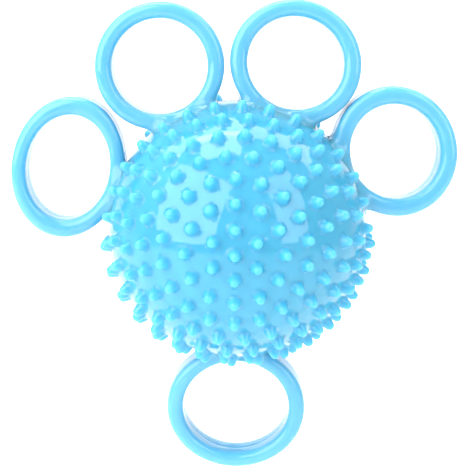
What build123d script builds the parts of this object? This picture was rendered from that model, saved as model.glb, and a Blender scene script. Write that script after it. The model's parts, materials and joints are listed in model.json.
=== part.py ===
from build123d import *
from math import asin, atan2, cos, degrees, hypot, radians, sin, sqrt
import os

# Hand grip strengthener: a hollow ball with rows of nubs and five finger loops.
# Millimetres, +Z up. The origin is the ball's centre, the front faces -Y and
# the finger loops stand in the plane y = 0. Azimuth is clockwise from +Z.

# ---- ball -------------------------------------------------------------
BALL_R = 35.0
WALL_T = 3.0
SEAM_GAP = 0.3           # between the belt and the caps that a squeeze pushes in
SEAT_GAP = 0.05          # nubs and webs stand this far off the wall

# ---- nubs -------------------------------------------------------------
NUB_BASE_R = 2.0
NUB_TIP_R = 1.2
NUB_H = 3.0
ROW_PITCH = 10.4         # degrees from the pole, row to row
ROW_COUNTS = [1, 6, 12, 18, 22, 26, 30, 30, 30]
ROW_PHASES = [0.0, 0.0, 0.0, 0.0, 10.0, 4.0, 5.0, 1.7, 10.5]
CAP_ROWS = 5             # rows 0 to 4 stand on the caps, the others on the belt

# ---- finger loops -----------------------------------------------------
FINGER_HOLE_R = 13.0
FINGER_BAND_T = 4.4
FINGER_RISE = 0.2        # from the ball up to the nearest point of the hole
THUMB_HOLE_R = 14.3
THUMB_BAND_T = 4.1
THUMB_RISE = 1.1
BAND_DEPTH = 10.0
BAND_ROUND = 1.9
LOOP_GAP = 1.45          # between neighbouring finger loops
FAN_MIDDLE = -3.8        # azimuth of the middle of the four finger loops
THUMB_AZIMUTH = 179.65
WEB_H = 4.2              # how far the webs stand out of the ball
ROOT_GAP = 0.35
WEB_TOE = 5.0            # half the space between a loop's two webs
NUB_CLEAR = 0.6          # nubs stay this far from a loop's outer wall
PATH_CLEAR = 0.5         # and, behind the ball, from the way into its hole

# ---- inflation plug ---------------------------------------------------
PLUG_R = 4.0
PLUG_SHANK_R = 2.8
PLUG_HEAD_T = 2.0
PLUG_L = 8.0
PLUG_CLEAR = 0.05
NEEDLE_R = 0.6
NEEDLE_DEPTH = 2.5

INNER_R = BALL_R - WALL_T
TIP_R = BALL_R + NUB_H
ROOT_R = BALL_R + WEB_H

# the seam runs midway between the last row on a cap and the first on the belt
CAP_EDGE = radians((CAP_ROWS - 1) * ROW_PITCH)
BELT_EDGE = radians(CAP_ROWS * ROW_PITCH)
CAP_REACH = (TIP_R - NUB_TIP_R) * sin(CAP_EDGE) + NUB_TIP_R
BELT_REACH = BALL_R * sin(BELT_EDGE) - NUB_BASE_R * cos(BELT_EDGE)
SEAM_R = (CAP_REACH + BELT_REACH) / 2

# each loop: name, azimuth, its centre's distance, hole radius, band thickness
FINGER_AWAY = BALL_R + FINGER_RISE + FINGER_HOLE_R
THUMB_AWAY = BALL_R + THUMB_RISE + THUMB_HOLE_R
FINGER_REACH = FINGER_HOLE_R + FINGER_BAND_T + LOOP_GAP / 2
FAN_PITCH = 2 * degrees(asin(FINGER_REACH / FINGER_AWAY))
FINGERS = ["index_loop", "middle_loop", "ring_finger_loop", "little_loop"]
LOOPS = []
for place, name in enumerate(FINGERS):
    azimuth = FAN_MIDDLE + FAN_PITCH * (place - 1.5)
    LOOPS.append((name, azimuth, FINGER_AWAY, FINGER_HOLE_R, FINGER_BAND_T))
LOOPS.append(("thumb_loop", THUMB_AZIMUTH, THUMB_AWAY, THUMB_HOLE_R, THUMB_BAND_T))


def along(polar, azimuth):
    """The direction at a polar angle from -Y and an azimuth from +Z."""
    t = radians(polar)
    a = radians(azimuth)
    return Vector(sin(t) * sin(a), -cos(t), sin(t) * cos(a))


def aimed(solid, direction):
    """The solid with its +Z turned to the direction, about the ball's centre."""
    return Plane(origin=(0, 0, 0), z_dir=direction).location * solid


def y_cylinder(radius, y0, y1, x=0.0, z=0.0):
    body = extrude(Circle(radius), y1 - y0)
    return Pos(x, y0, z) * Rot(-90, 0, 0) * body


def nub():
    """One tapered nub standing on the ball at +Z, its foot curved to the wall."""
    foot_r = BALL_R + SEAT_GAP
    foot_z = sqrt(foot_r**2 - NUB_BASE_R**2)
    tip_z = TIP_R - NUB_TIP_R
    rise = tip_z - foot_z
    tangent = radians(90) - atan2(rise, NUB_BASE_R) - asin(NUB_TIP_R / hypot(NUB_BASE_R, rise))
    middle = (tangent + radians(90)) / 2
    flank = (NUB_TIP_R * cos(tangent), tip_z + NUB_TIP_R * sin(tangent))
    middle_point = (NUB_TIP_R * cos(middle), tip_z + NUB_TIP_R * sin(middle))
    half_foot = asin(NUB_BASE_R / foot_r) / 2
    foot_mid = (foot_r * sin(half_foot), foot_r * cos(half_foot))
    with BuildPart() as body:
        with BuildSketch(Plane.XZ):
            with BuildLine():
                ThreePointArc((0, foot_r), foot_mid, (NUB_BASE_R, foot_z))
                Line((NUB_BASE_R, foot_z), flank)
                ThreePointArc(flank, middle_point, (0, TIP_R))
                Line((0, TIP_R), (0, foot_r))
            make_face()
        revolve(axis=Axis.Z)
    return body.part


def from_loop_axis(azimuth, radius, loop):
    """Distance from a loop's own axis of a point at a radius in the loops' plane."""
    away = radians(azimuth - loop[1])
    return sqrt(loop[2]**2 + radius**2 - 2 * loop[2] * radius * cos(away))


def is_free(row, azimuth, rear):
    """Whether a nub of the row stands clear of the loops and of the rear finger paths."""
    polar = radians(row * ROW_PITCH)
    half_band = BAND_DEPTH / 2
    near = TIP_R * cos(polar) - NUB_TIP_R
    for loop in LOOPS:
        hole_r = loop[3]
        outer_r = hole_r + loop[4]
        foot = from_loop_axis(azimuth, (BALL_R + 1.0) * sin(polar), loop)
        tip = from_loop_axis(azimuth, TIP_R * sin(polar), loop)
        if near < half_band and foot < outer_r + NUB_BASE_R + NUB_CLEAR:
            return False
        if rear and tip < hole_r + NUB_TIP_R + PATH_CLEAR:
            return False
    return True


def nub_row(row, rear):
    """All the nubs of one row. The rear rows mirror the front ones."""
    count = ROW_COUNTS[row]
    polar = row * ROW_PITCH
    if rear:
        polar = 180 - polar
    solids = []
    for i in range(count):
        azimuth = ROW_PHASES[row] + 360 / count * i
        if is_free(row, azimuth, rear):
            solids.append(aimed(NUB, along(polar, azimuth)))
    return Compound(children=solids)


def ring(hole_r, wall):
    """A finger loop's whole ring about the Y axis, its edges rounded."""
    section = Pos(hole_r + wall / 2, 0) * RectangleRounded(wall, BAND_DEPTH, BAND_ROUND)
    return revolve(section, Axis.Y)


def placed(solid, azimuth):
    """The solid turned from +Z to an azimuth in the loops' plane."""
    return Rot(0, azimuth, 0) * solid


def loop_band(loop):
    whole = Pos(0, 0, loop[2]) * ring(loop[3], loop[4])
    return placed(whole - Sphere(ROOT_R + ROOT_GAP), loop[1])


def loop_webs(loop):
    """The two short legs between the ball and a loop."""
    whole = Pos(0, 0, loop[2]) * ring(loop[3], loop[4])
    legs = (whole & Sphere(ROOT_R)) - Sphere(BALL_R + SEAT_GAP)
    legs -= Pos(0, 0, BALL_R) * Box(2 * WEB_TOE, 2 * BAND_DEPTH, BALL_R)
    return placed(legs, loop[1])


def plug():
    """The inflation plug in the rear pole, with the needle's dimple."""
    head = y_cylinder(PLUG_R, BALL_R - PLUG_HEAD_T, BALL_R + 1)
    shank = y_cylinder(PLUG_SHANK_R, BALL_R - PLUG_L, BALL_R - PLUG_HEAD_T)
    needle = y_cylinder(NEEDLE_R, BALL_R - NEEDLE_DEPTH, BALL_R + 1)
    return (head + shank) & Sphere(BALL_R) - needle


def save(name, shape):
    shape.label = name
    export_step(shape, f"parts/{name}.step")


os.makedirs("parts", exist_ok=True)
NUB = nub()

shell = Sphere(BALL_R) - Sphere(INNER_R)
belt = shell - y_cylinder(SEAM_R + SEAM_GAP / 2, -BALL_R, BALL_R)
save("ball_belt", belt)

cap_r = SEAM_R - SEAM_GAP / 2
front_dome = shell & y_cylinder(cap_r, -BALL_R, 0)
save("front_dome", front_dome)

rear_dome = shell & y_cylinder(cap_r, 0, BALL_R)
rear_dome -= y_cylinder(PLUG_R + PLUG_CLEAR, BALL_R - PLUG_HEAD_T - PLUG_CLEAR, BALL_R + 1)
rear_dome -= y_cylinder(PLUG_SHANK_R + PLUG_CLEAR, 0, BALL_R)
save("rear_dome", rear_dome)
save("valve_plug", plug())

for row in range(len(ROW_COUNTS)):
    zone = "cap" if row < CAP_ROWS else "belt"
    save(f"front_{zone}_nubs_{row}", nub_row(row, False))
    if row > 0:
        save(f"rear_{zone}_nubs_{row}", nub_row(row, True))

for loop in LOOPS:
    save(loop[0], loop_band(loop))
    save(loop[0].replace("_loop", "_webs"), loop_webs(loop))
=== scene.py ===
# %% [markdown]
# # A soft hand grip strengthener
# The real object is one moulding of soft, glossy, slightly see-through rubber: a hollow ball covered in
# rounded nubs, with four finger loops and a thumb loop standing out of its equator.
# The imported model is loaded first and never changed. The sizes and places below start from it, in metres.

# %% Load the frame
import json
import math
import bpy
import bmesh
from mathutils import Matrix, Vector


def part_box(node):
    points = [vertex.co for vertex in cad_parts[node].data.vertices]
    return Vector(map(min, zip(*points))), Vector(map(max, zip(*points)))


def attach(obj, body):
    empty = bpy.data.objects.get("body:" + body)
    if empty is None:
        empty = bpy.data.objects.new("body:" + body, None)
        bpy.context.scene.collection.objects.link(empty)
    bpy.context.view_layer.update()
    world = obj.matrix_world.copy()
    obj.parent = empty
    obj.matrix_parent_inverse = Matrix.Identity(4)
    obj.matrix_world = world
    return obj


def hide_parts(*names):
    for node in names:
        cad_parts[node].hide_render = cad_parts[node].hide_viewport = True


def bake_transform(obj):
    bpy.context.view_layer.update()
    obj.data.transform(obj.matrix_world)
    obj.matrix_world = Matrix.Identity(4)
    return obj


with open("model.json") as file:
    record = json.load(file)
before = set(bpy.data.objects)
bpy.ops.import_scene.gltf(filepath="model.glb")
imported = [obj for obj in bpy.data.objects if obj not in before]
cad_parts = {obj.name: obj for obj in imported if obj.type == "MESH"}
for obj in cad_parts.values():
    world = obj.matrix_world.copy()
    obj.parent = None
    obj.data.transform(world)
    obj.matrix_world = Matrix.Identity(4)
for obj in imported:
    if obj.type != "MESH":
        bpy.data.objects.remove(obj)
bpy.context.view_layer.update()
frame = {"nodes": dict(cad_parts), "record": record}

MM = 0.001

# %% [markdown]
# ## The camera
# The ball is looked at from the front and a little above, through a long lens that keeps the loops round.
# The camera's place is worked out from a distance and two angles round the ball's middle.
# `to_track_quat` turns its -Z, the way a camera looks, to a point just below the middle, and a small roll
# follows.

# %% Camera
CAMERA_DISTANCE = 0.340
CAMERA_HEIGHT = math.radians(11.41)
CAMERA_SIDE = math.radians(0.93)
CAMERA_ROLL = math.radians(0.65)
LENS_MM = 95.0
SENSOR_MM = 36
NEAREST_SEEN = 0.01
aim = Vector((-0.68, 0, -1.94)) * MM

camera_data = bpy.data.cameras.new("camera")
camera = bpy.data.objects.new("camera", camera_data)
bpy.context.scene.collection.objects.link(camera)
flat = math.cos(CAMERA_HEIGHT)
direction = Vector((math.sin(CAMERA_SIDE) * flat, -math.cos(CAMERA_SIDE) * flat, math.sin(CAMERA_HEIGHT)))
camera.location = CAMERA_DISTANCE * direction
look = (aim - camera.location).to_track_quat("-Z", "Y").to_matrix()
camera.rotation_euler = (look @ Matrix.Rotation(CAMERA_ROLL, 3, "Z")).to_euler()
camera_data.sensor_width = SENSOR_MM
camera_data.lens = LENS_MM
camera_data.clip_start = NEAREST_SEEN
bpy.context.scene.camera = camera
print("camera at", [round(v / MM, 1) for v in camera.location], "mm")

# %% [markdown]
# ## Small helpers
# An operator acts on all that is selected, so each helper first deselects everything, then selects what it
# is given. In edit mode, points are chosen by a test on their place.

# %% Selection helpers
def only(*things):
    """Selects just these objects; the first one is active."""
    bpy.ops.object.select_all(action="DESELECT")
    for thing in things:
        thing.select_set(True)
    bpy.context.view_layer.objects.active = things[0]


def choose(piece, test):
    """In edit mode, selects the points whose place passes the test."""
    bpy.ops.mesh.select_mode(type="VERT")
    net = bmesh.from_edit_mesh(piece.data)
    for point in net.verts:
        point.select = test(point.co)
    net.select_flush(True)
    net.select_flush(False)
    bmesh.update_edit_mesh(piece.data)


def settle(piece):
    """Puts the object's place into its mesh, so that the object ends at the origin, unturned."""
    only(piece)
    bpy.ops.object.transform_apply(location=True, rotation=True, scale=True)


def tell(piece):
    """Prints a piece's size and its number of triangles."""
    piece.data.calc_loop_triangles()
    size = [round(v / MM, 1) for v in piece.dimensions]
    print(piece.name, "is", size, "mm, with", len(piece.data.loop_triangles), "triangles")


# %% [markdown]
# ## Sizes read from the model
# The ball's radius is half the belt's height. Each finger hole is a mount in the record, with its centre and
# its radius. A nub's tip is the farthest point of its rounded solid, so the tips tell where the nubs stand.
# Points of the mesh that are as far out as a tip and close to it count as that same tip.

# %% Sizes and places
BALL_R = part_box("ball_belt")[1][2]
WALL = 3.0 * MM
NUB_HEIGHT = 3.0 * MM
TIP_SLACK = 0.01 * MM
SAME_TIP = 1.0 * MM
TIP_R = BALL_R + NUB_HEIGHT
holes = {m["name"]: m for m in frame["record"]["mounts"] if m["kind"] == "bore"}
nub_nodes = [name for name in frame["nodes"] if "_nubs_" in name]


def tips_of(node):
    """The tip of each nub in a CAD node."""
    found = []
    for point in frame["nodes"][node].data.vertices:
        new = all((point.co - tip).length > SAME_TIP for tip in found)
        if new and point.co.length > TIP_R - TIP_SLACK:
            found.append(point.co.copy())
    return found


tips = {node: tips_of(node) for node in nub_nodes}
print("ball radius", round(BALL_R / MM, 2), "mm,", sum(len(t) for t in tips.values()), "nubs")

# %% [markdown]
# ## One nub
# A nub is a small cone with a rounded tip, and its foot spreads a little where it meets the ball.
# It could be turned with a Screw modifier, but extruding a ring of edges upwards, and resizing it at each
# step, is as a modeller does it by hand, and keeps the nub at little more than a hundred faces. Its bottom
# lies inside the ball's wall and is closed, so that the nub is a solid which can be merged with the wall.

# %% A shape turned from a ring of edges
SURFACE = BALL_R / MM


def turned(name, profile, sides):
    """A shape turned about +Z that stands on the ball: a ring of edges extruded through the profile's steps,
    each (radius, height over the ball's surface) in millimetres, and closed at the last one."""
    steps = [(radius, SURFACE + height) for radius, height in profile]
    radius, height = steps[0]
    bpy.ops.object.select_all(action="DESELECT")
    bpy.ops.mesh.primitive_circle_add(vertices=sides, radius=radius * MM, location=(0, 0, height * MM))
    piece = bpy.context.object
    piece.name = name
    bpy.ops.object.transform_apply(location=True, rotation=False, scale=False)
    bpy.ops.object.mode_set(mode="EDIT")
    bpy.ops.mesh.select_all(action="SELECT")
    for new_radius, new_height in steps[1:]:
        bpy.ops.mesh.extrude_region_move(
            TRANSFORM_OT_translate={"value": (0, 0, (new_height - height) * MM)})
        k = new_radius / radius
        bpy.ops.transform.resize(value=(k, k, 1), center_override=(0, 0, new_height * MM))
        radius, height = new_radius, new_height
    bpy.ops.mesh.merge(type="CENTER")
    bpy.ops.mesh.select_all(action="SELECT")
    bpy.ops.mesh.normals_make_consistent(inside=False)
    bpy.ops.object.mode_set(mode="OBJECT")
    return piece


# %% The nub
NUB_PROFILE = [(2.10, -0.80), (2.02, -0.10), (1.80, 0.20), (1.62, 0.55), (1.44, 1.10), (1.24, 1.80),
               (0.96, 2.38), (0.55, 2.72), (0.15, 2.83)]
NUB_SIDES = 14
BOTTOM_BELOW = -0.7      # only the first ring of the profile lies lower than this

nub = turned("nub", NUB_PROFILE, NUB_SIDES)
bpy.ops.object.mode_set(mode="EDIT")
choose(nub, lambda p: p.z < (SURFACE + BOTTOM_BELOW) * MM)
bpy.ops.mesh.edge_face_add()
bpy.ops.mesh.select_all(action="SELECT")
bpy.ops.mesh.normals_make_consistent(inside=False)
bpy.ops.object.mode_set(mode="OBJECT")
tell(nub)


# %% Copies of the nub
def nubs_at(places):
    """A copy of the nub, with its own mesh, at each tip. They stay selected, the first one active."""
    copies = []
    for tip in places:
        copy = nub.copy()
        copy.data = nub.data.copy()
        copy.rotation_euler = tip.to_track_quat("Z", "Y").to_euler()
        bpy.context.scene.collection.objects.link(copy)
        copies.append(copy)
    only(*copies)
    bpy.ops.object.transform_apply(location=True, rotation=True, scale=True)
    return copies


# %% [markdown]
# ## The ball's skin
# The ball is moulded in two halves that meet at the equator in a fine raised line. Each half starts as a
# sphere with its poles at the front and the back, cut in two with Bisect. Its rim is pushed out a little for
# the moulding line, and Solidify gives it the real wall. The nubs could just be pushed through the wall, but
# light that scatters under the surface would then leave a dark ring round each foot, so a Boolean union
# merges them with it, and each half ends as one mesh.

# %% Half of the ball
SPHERE_SEGMENTS = 160
SPHERE_RINGS = 80
PLUG_HOLE = 4.05 * MM
LINE_HALF = 0.35 * MM
LINE_PROUD = 0.10 * MM
ON_EQUATOR = 0.001 * MM


def half_skin(name, side):
    """side is -1 for the front half and 1 for the rear one, which has the plug's hole."""
    bpy.ops.object.select_all(action="DESELECT")
    bpy.ops.mesh.primitive_uv_sphere_add(segments=SPHERE_SEGMENTS, ring_count=SPHERE_RINGS, radius=BALL_R,
                                         rotation=(math.pi / 2, 0, 0))
    piece = bpy.context.object
    piece.name = name
    bpy.ops.object.transform_apply(location=False, rotation=True, scale=False)
    bpy.ops.object.mode_set(mode="EDIT")
    bpy.ops.mesh.select_all(action="SELECT")
    bpy.ops.mesh.bisect(plane_co=(0, 0, 0), plane_no=(0, -side, 0), clear_outer=True)
    bpy.ops.mesh.select_all(action="SELECT")
    bpy.ops.mesh.bisect(plane_co=(0, side * LINE_HALF, 0), plane_no=(0, 1, 0))
    choose(piece, lambda p: abs(p.y) < ON_EQUATOR)
    k = 1 + LINE_PROUD / BALL_R
    bpy.ops.transform.resize(value=(k, 1, k), center_override=(0, 0, 0))
    if side > 0:
        bpy.ops.mesh.select_all(action="SELECT")
        depth = math.sqrt(BALL_R**2 - PLUG_HOLE**2)
        bpy.ops.mesh.bisect(plane_co=(0, depth, 0), plane_no=(0, 1, 0), clear_outer=True)
    bpy.ops.object.mode_set(mode="OBJECT")
    wall = piece.modifiers.new("wall", "SOLIDIFY")
    wall.thickness = WALL
    wall.offset = -1
    only(piece)
    bpy.ops.object.modifier_apply(modifier="wall")
    return piece


# %% Two skins, each merged with its nubs
skins = {}
for name, side in (("front", -1), ("rear", 1)):
    skin = half_skin(name + "_skin", side)
    nodes = [node for node in nub_nodes if node.startswith(name)]
    copies = nubs_at([tip for node in nodes for tip in tips[node]])
    bpy.ops.object.join()
    union = skin.modifiers.new("nubs", "BOOLEAN")
    union.operation = "UNION"
    union.solver = "EXACT"
    union.object = copies[0]
    only(skin)
    bpy.ops.object.modifier_apply(modifier="nubs")
    bpy.data.objects.remove(copies[0])
    bpy.ops.object.shade_smooth()
    settle(skin)
    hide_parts("ball_belt", name + "_dome", *nodes)
    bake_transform(skin)
    tell(skin)
    skins[name] = skin
bpy.data.objects.remove(nub)

# %% [markdown]
# ## The finger loops
# Each loop is a band with rounded edges, a faint moulding line round its middle, and a root that flares
# into the ball. A torus is quicker to add, but its section is round and this one is flat and deep, so the
# section is a plane with its corners bevelled, spun round the loop's axis. The flare is made afterwards by
# moving the points near the ball sideways along a quarter circle, as a moulder's fillet does.
# Soft loops are never quite round or in line, so each one has a row in a table. `near` scales it along the
# line from the ball, `wide` scales it across that line, and `moved` is how far it is then pushed out.
# `turn` turns it in its own plane, `lean` shifts it round the ball, and `back` tips it to the rear.

# %% A band with rounded edges
DEPTH = 10.0 * MM
ROUNDING = 1.9 * MM
ROUNDING_SEGMENTS = 5
SPIN_STEPS = 200
WELD = 0.01 * MM
CUTS_MM = (-2.0, -1.0, -0.3, 0.0, 0.3, 1.0, 2.0)


def band(name, hole, thick):
    """A closed band round the Y axis."""
    bpy.ops.object.select_all(action="DESELECT")
    bpy.ops.mesh.primitive_plane_add(size=1, location=(hole + thick / 2, 0, 0))
    piece = bpy.context.object
    piece.name = name
    piece.scale = (thick, DEPTH, 1)
    bpy.ops.object.transform_apply(location=True, rotation=False, scale=True)
    bpy.ops.object.mode_set(mode="EDIT")
    bpy.ops.mesh.select_all(action="SELECT")
    bpy.ops.mesh.bevel(offset=ROUNDING, segments=ROUNDING_SEGMENTS, affect="VERTICES")
    bpy.ops.mesh.select_all(action="SELECT")
    bpy.ops.mesh.delete(type="ONLY_FACE")
    bpy.ops.mesh.select_all(action="SELECT")
    bpy.ops.mesh.spin(steps=SPIN_STEPS, angle=2 * math.pi, center=(0, 0, 0), axis=(0, 1, 0))
    bpy.ops.mesh.select_all(action="SELECT")
    bpy.ops.mesh.remove_doubles(threshold=WELD)
    bpy.ops.mesh.select_all(action="SELECT")
    bpy.ops.mesh.normals_make_consistent(inside=False)
    for cut in CUTS_MM:
        bpy.ops.mesh.select_all(action="SELECT")
        bpy.ops.mesh.bisect(plane_co=(0, cut * MM, 0), plane_no=(0, 1, 0))
    choose(piece, lambda p: abs(p.y) < WELD)
    bpy.ops.transform.shrink_fatten(value=-LINE_PROUD)
    bpy.ops.object.mode_set(mode="OBJECT")
    return piece


# %% The fillet at a root
FILLET = 2.6 * MM


def flare(piece):
    """Moves the points near the ball sideways, so that the root meets it in a fillet."""
    normals = [v.normal.copy() for v in piece.data.vertices]
    for point, normal in zip(piece.data.vertices, normals):
        height = max(point.co.length - BALL_R, 0)
        if height < FILLET:
            rise = 1 - height / FILLET
            out = point.co.normalized()
            sideways = normal - out * normal.dot(out)
            point.co += sideways * FILLET * (1 - math.sqrt(max(1 - rise**2, 0)))


# %% Five loops
#                             thick   near   wide       moved  turn, lean and back in degrees
LOOPS = {"index_loop": (4.4 * MM, 0.868, 1.105, 2.35 * MM, 8.0, 0.0, 0.0),
         "middle_loop": (4.5 * MM, 0.965, 0.985, 1.00 * MM, 0.0, 0.2, 0.0),
         "ring_finger_loop": (4.7 * MM, 0.935, 0.990, 0.10 * MM, 0.0, 0.0, 4.0),
         "little_loop": (4.9 * MM, 0.925, 0.990, 0.10 * MM, 0.0, 0.0, 5.0),
         "thumb_loop": (4.3 * MM, 0.960, 1.035, 0.85 * MM, 0.0, 0.2, 3.0)}

loops = {}
for name, (thick, near, wide, moved, turn, lean, back) in LOOPS.items():
    mount = holes[name.replace("_loop", "_hole")]
    centre = Vector(mount["pos_m"])
    azimuth = math.atan2(centre.x, centre.z) + math.radians(lean)
    piece = band(name + "_band", mount["dims"]["r_mm"] * MM, thick)
    # the loop is shaped straight above the ball, then turned to its place round it
    upright = (0, 0, centre.length)
    root = (0, 0, BALL_R)
    piece.location = upright
    settle(piece)
    bpy.ops.object.mode_set(mode="EDIT")
    bpy.ops.mesh.select_all(action="SELECT")
    bpy.ops.transform.resize(value=(wide, 1, near), center_override=root)
    bpy.ops.transform.translate(value=(0, 0, moved))
    bpy.ops.transform.rotate(value=math.radians(turn), orient_axis="Y", center_override=upright)
    bpy.ops.transform.rotate(value=math.radians(back), orient_axis="X", center_override=root)
    bpy.ops.object.mode_set(mode="OBJECT")
    flare(piece)
    piece.rotation_euler = (0, azimuth, 0)
    settle(piece)
    bpy.ops.object.shade_smooth()
    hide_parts(name, name.replace("_loop", "_webs"))
    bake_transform(piece)
    tell(piece)
    loops[name] = piece

# %% [markdown]
# ## The inflation plug
# At the back pole a soft plug closes the hole that the ball is inflated through: a shallow dished head with a
# small lip round the needle's hole. It is turned like the nub, then laid along the Y axis. A lathe-like
# profile suits it, because everything that shows of it is round.

# %% Plug
PLUG_PROFILE = [(2.75, -8.0), (2.75, -2.1), (3.95, -2.0), (3.98, -0.7), (3.80, -0.38), (3.45, -0.25),
                (2.2, -0.42), (1.75, -0.40), (1.45, -0.12), (1.15, -0.10), (0.85, -0.35), (0.55, -0.8),
                (0.45, -2.5)]
PLUG_SIDES = 48
SHARPEST_SMOOTH = math.radians(50)

plug = turned("plug", PLUG_PROFILE, PLUG_SIDES)
plug.rotation_euler = (-math.pi / 2, 0, 0)
settle(plug)
bpy.ops.object.shade_smooth_by_angle(angle=SHARPEST_SMOOTH)
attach(plug, "rear_cap")
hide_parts("valve_plug")
tell(plug)

# %% [markdown]
# ## The rubber
# Thermoplastic rubber (TPR), injection moulded in a polished tool: a glossy, slightly milky sky blue. Light
# goes a few millimetres into it, so its shading is soft and its thin edges glow. Glass-like transmission
# would show the ball's far wall as well, but it is slow and grainy, so scattering under the surface is used.
# The colour is nearly even, with a faint cloudiness from the pigment, and the gloss varies a little where
# the rubber has been handled. The loops have their own copy of the rubber, a little paler: painted light,
# standing in for the extra light that passes through their thin bands.

# %% Colours and nodes
def colour(code):
    """An sRGB hex colour, turned to the linear numbers that shaders work in."""
    parts = [int(code[i:i + 2], 16) / 255 for i in (0, 2, 4)]
    return tuple(v / 12.92 if v <= 0.04045 else ((v + 0.055) / 1.055)**2.4 for v in parts) + (1.0,)


def add(tree, kind, settings=None, **links):
    """Adds a node, sets the values of its inputs, and links the others."""
    node = tree.nodes.new(kind)
    for key, value in (settings or {}).items():
        node.inputs[key].default_value = value
    for key, source in links.items():
        tree.links.new(source, node.inputs[key.replace("_", " ")])
    return node


# %% Rubber
# A noise pattern seldom leaves this range, so it is spread between the two ends.
NOISE_LOW, NOISE_HIGH = 0.3, 0.7
# Smooth enough to mirror a lamp, with patches a little duller from handling.
HANDLED = 7 * MM
POLISHED, DULLED = 0.02, 0.06
# A soft moulding shrinks unevenly as it cools: long shallow waves that bend the reflections.
WAVES, WAVE_HEIGHT = 5 * MM, 0.05 * MM
# The tool's own polish, drawn coarser than it is so that it shows at all.
GRAIN, GRAIN_HEIGHT = 0.5 * MM, 0.002 * MM
# How far light spreads under the surface: red, which a blue pigment swallows, spreads least.
SCATTER = 6.0 * MM
SCATTER_RGB = (0.7, 0.9, 1.0)


def rubber(name, deep, pale, cloud_mm):
    """Moulded rubber whose colour drifts between two close blues, in clouds of the given size."""
    material = bpy.data.materials.new(name)
    material.use_nodes = True
    tree = material.node_tree
    tree.nodes.clear()
    place = add(tree, "ShaderNodeTexCoord").outputs["Object"]
    clouds = add(tree, "ShaderNodeTexNoise", {"Scale": 1 / (cloud_mm * MM), "Detail": 3.0, "Roughness": 0.5},
                 Vector=place)
    tint = add(tree, "ShaderNodeValToRGB", Fac=clouds.outputs["Fac"])
    tint.color_ramp.elements[0].position = NOISE_LOW
    tint.color_ramp.elements[0].color = colour(deep)
    tint.color_ramp.elements[1].position = NOISE_HIGH
    tint.color_ramp.elements[1].color = colour(pale)
    handled = add(tree, "ShaderNodeTexNoise", {"Scale": 1 / HANDLED, "Detail": 2.0}, Vector=place)
    gloss = add(tree, "ShaderNodeMapRange",
                {"From Min": NOISE_LOW, "From Max": NOISE_HIGH, "To Min": POLISHED, "To Max": DULLED},
                Value=handled.outputs["Fac"])
    waves = add(tree, "ShaderNodeTexNoise", {"Scale": 1 / WAVES, "Detail": 1.0}, Vector=place)
    swell = add(tree, "ShaderNodeBump", {"Strength": 1.0, "Distance": WAVE_HEIGHT},
                Height=waves.outputs["Fac"])
    grain = add(tree, "ShaderNodeTexNoise", {"Scale": 1 / GRAIN, "Detail": 1.0}, Vector=place)
    polish = add(tree, "ShaderNodeBump", {"Strength": 1.0, "Distance": GRAIN_HEIGHT},
                 Height=grain.outputs["Fac"], Normal=swell.outputs["Normal"])
    shader = add(tree, "ShaderNodeBsdfPrincipled",
                 {"IOR": 1.5, "Coat Weight": 0.28, "Coat Roughness": 0.02, "Subsurface Weight": 0.9,
                  "Subsurface Radius": SCATTER_RGB, "Subsurface Scale": SCATTER},
                 Base_Color=tint.outputs["Color"], Roughness=gloss.outputs["Result"],
                 Normal=polish.outputs["Normal"])
    add(tree, "ShaderNodeOutputMaterial", Surface=shader.outputs["BSDF"])
    return material


# %% Rubber on the pieces
tpr = rubber("moulded_tpr_sky_blue", "46A9CA", "4EAFD0", 12)
# painted light: the loops' copy of the same rubber is made paler to stand for light passing through their
# thin bands
tpr_painted_through_light = rubber("moulded_tpr_painted_through_light", "5EACCA", "66B2D0", 12)
plug_tpr = rubber("moulded_tpr_plug_blue", "3C9EC2", "44A6C8", 6)
for pieces, look in ((skins.values(), tpr), (loops.values(), tpr_painted_through_light), ([plug], plug_tpr)):
    for piece in pieces:
        piece.data.materials.clear()
        piece.data.materials.append(look)
print("materials:", tpr.name, tpr_painted_through_light.name, plug_tpr.name)

# %% [markdown]
# ## The studio
# A white sweep, which is a floor that curves up into a backdrop, gives the pale lower half of the ball and
# its bright rim. It is a plane whose far edge is extruded in short steps, each turned a little more, because
# one curve without a corner leaves no line behind the object. Three big soft lights stand at the front left,
# overhead and at the front right, and their reflections are the pale patches on the ball. A fourth lights
# only the backdrop, so that it stays white. The dim sky leaves the rest of the ball its full colour.

# %% Sweep
FLOOR_Z = -0.20
FLOOR_MIDDLE_Y = -0.3
FLOOR_WIDTH, FLOOR_DEPTH = 6, 2.2
CURVE_STEPS = 10
STEP_DEGREES = 9
STEP_LENGTH = 0.06
BACKDROP_RISE = 0.35
EDGE_SLACK = 0.001

bpy.ops.object.select_all(action="DESELECT")
bpy.ops.mesh.primitive_plane_add(size=1, location=(0, FLOOR_MIDDLE_Y, FLOOR_Z))
sweep = bpy.context.object
sweep.name = "sweep"
sweep.scale = (FLOOR_WIDTH, FLOOR_DEPTH, 1)
bpy.ops.object.transform_apply(location=True, rotation=False, scale=True)
bpy.ops.object.mode_set(mode="EDIT")
for step in range(CURVE_STEPS):
    edge = max(v.co.y + v.co.z for v in bmesh.from_edit_mesh(sweep.data).verts)
    choose(sweep, lambda p: p.y + p.z > edge - EDGE_SLACK)
    angle = math.radians(STEP_DEGREES * step + STEP_DEGREES / 2)
    forward, upward = STEP_LENGTH * math.cos(angle), STEP_LENGTH * math.sin(angle)
    bpy.ops.mesh.extrude_region_move(TRANSFORM_OT_translate={"value": (0, forward, upward)})
bpy.ops.mesh.extrude_region_move(TRANSFORM_OT_translate={"value": (0, 0, BACKDROP_RISE)})
bpy.ops.object.mode_set(mode="OBJECT")
bpy.ops.object.shade_smooth()
tell(sweep)

# %% Backdrop paper
FIBRE_SCALE = 40.0

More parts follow.
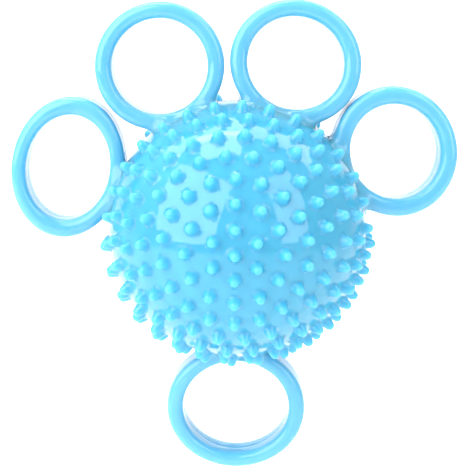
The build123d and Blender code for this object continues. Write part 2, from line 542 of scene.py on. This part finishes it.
paper = bpy.data.materials.new("matt_white_backdrop_paper")
paper.use_nodes = True
tree = paper.node_tree
tree.nodes.clear()
spot = add(tree, "ShaderNodeTexCoord").outputs["Object"]
fibre = add(tree, "ShaderNodeTexNoise", {"Scale": FIBRE_SCALE, "Detail": 2.0}, Vector=spot)
white = add(tree, "ShaderNodeValToRGB", Fac=fibre.outputs["Fac"])
white.color_ramp.elements[0].color = colour("F6F6F6")
white.color_ramp.elements[1].color = colour("FAFAFA")
matt = add(tree, "ShaderNodeBsdfPrincipled", {"Roughness": 0.9}, Base_Color=white.outputs["Color"])
add(tree, "ShaderNodeOutputMaterial", Surface=matt.outputs["BSDF"])
sweep.data.materials.append(paper)
print("backdrop:", paper.name)


# %% Soft lights
def soft_light(name, place, aim_at, width, height, brightness):
    """A rectangular soft light facing a point; brightness is its radiance."""
    data = bpy.data.lights.new(name, "AREA")
    data.shape = "RECTANGLE"
    data.size = width
    data.size_y = height
    data.energy = brightness * math.pi * width * height
    light = bpy.data.objects.new(name, data)
    light.location = place
    light.rotation_euler = (Vector(place) - Vector(aim_at)).to_track_quat("Z", "Y").to_euler()
    bpy.context.scene.collection.objects.link(light)


BALL_MIDDLE = (0, 0, 0)
BACKDROP_MIDDLE = (0, 0.80, -0.10)
soft_light("left_softbox", (-0.58, -0.56, 0.385), BALL_MIDDLE, 1.00, 1.02, 3.4)
soft_light("top_softbox", (-0.17, 0.0, 0.80), BALL_MIDDLE, 0.40, 0.42, 4.2)
soft_light("right_softbox", (0.634, -0.517, 0.376), BALL_MIDDLE, 0.45, 0.95, 2.6)
soft_light("backdrop_light", (0, 0.35, 0.80), BACKDROP_MIDDLE, 1.8, 0.6, 3.0)

# %% Sky
SKY_TINT = (0.9, 0.95, 1.0, 1.0)
SKY_STRENGTH = 0.62

world = bpy.data.worlds.new("room")
bpy.context.scene.world = world
world.use_nodes = True
sky = world.node_tree.nodes["Background"]
sky.inputs["Color"].default_value = SKY_TINT
sky.inputs["Strength"].default_value = SKY_STRENGTH
bpy.context.scene.view_settings.view_transform = "Standard"
print("sky strength", SKY_STRENGTH)
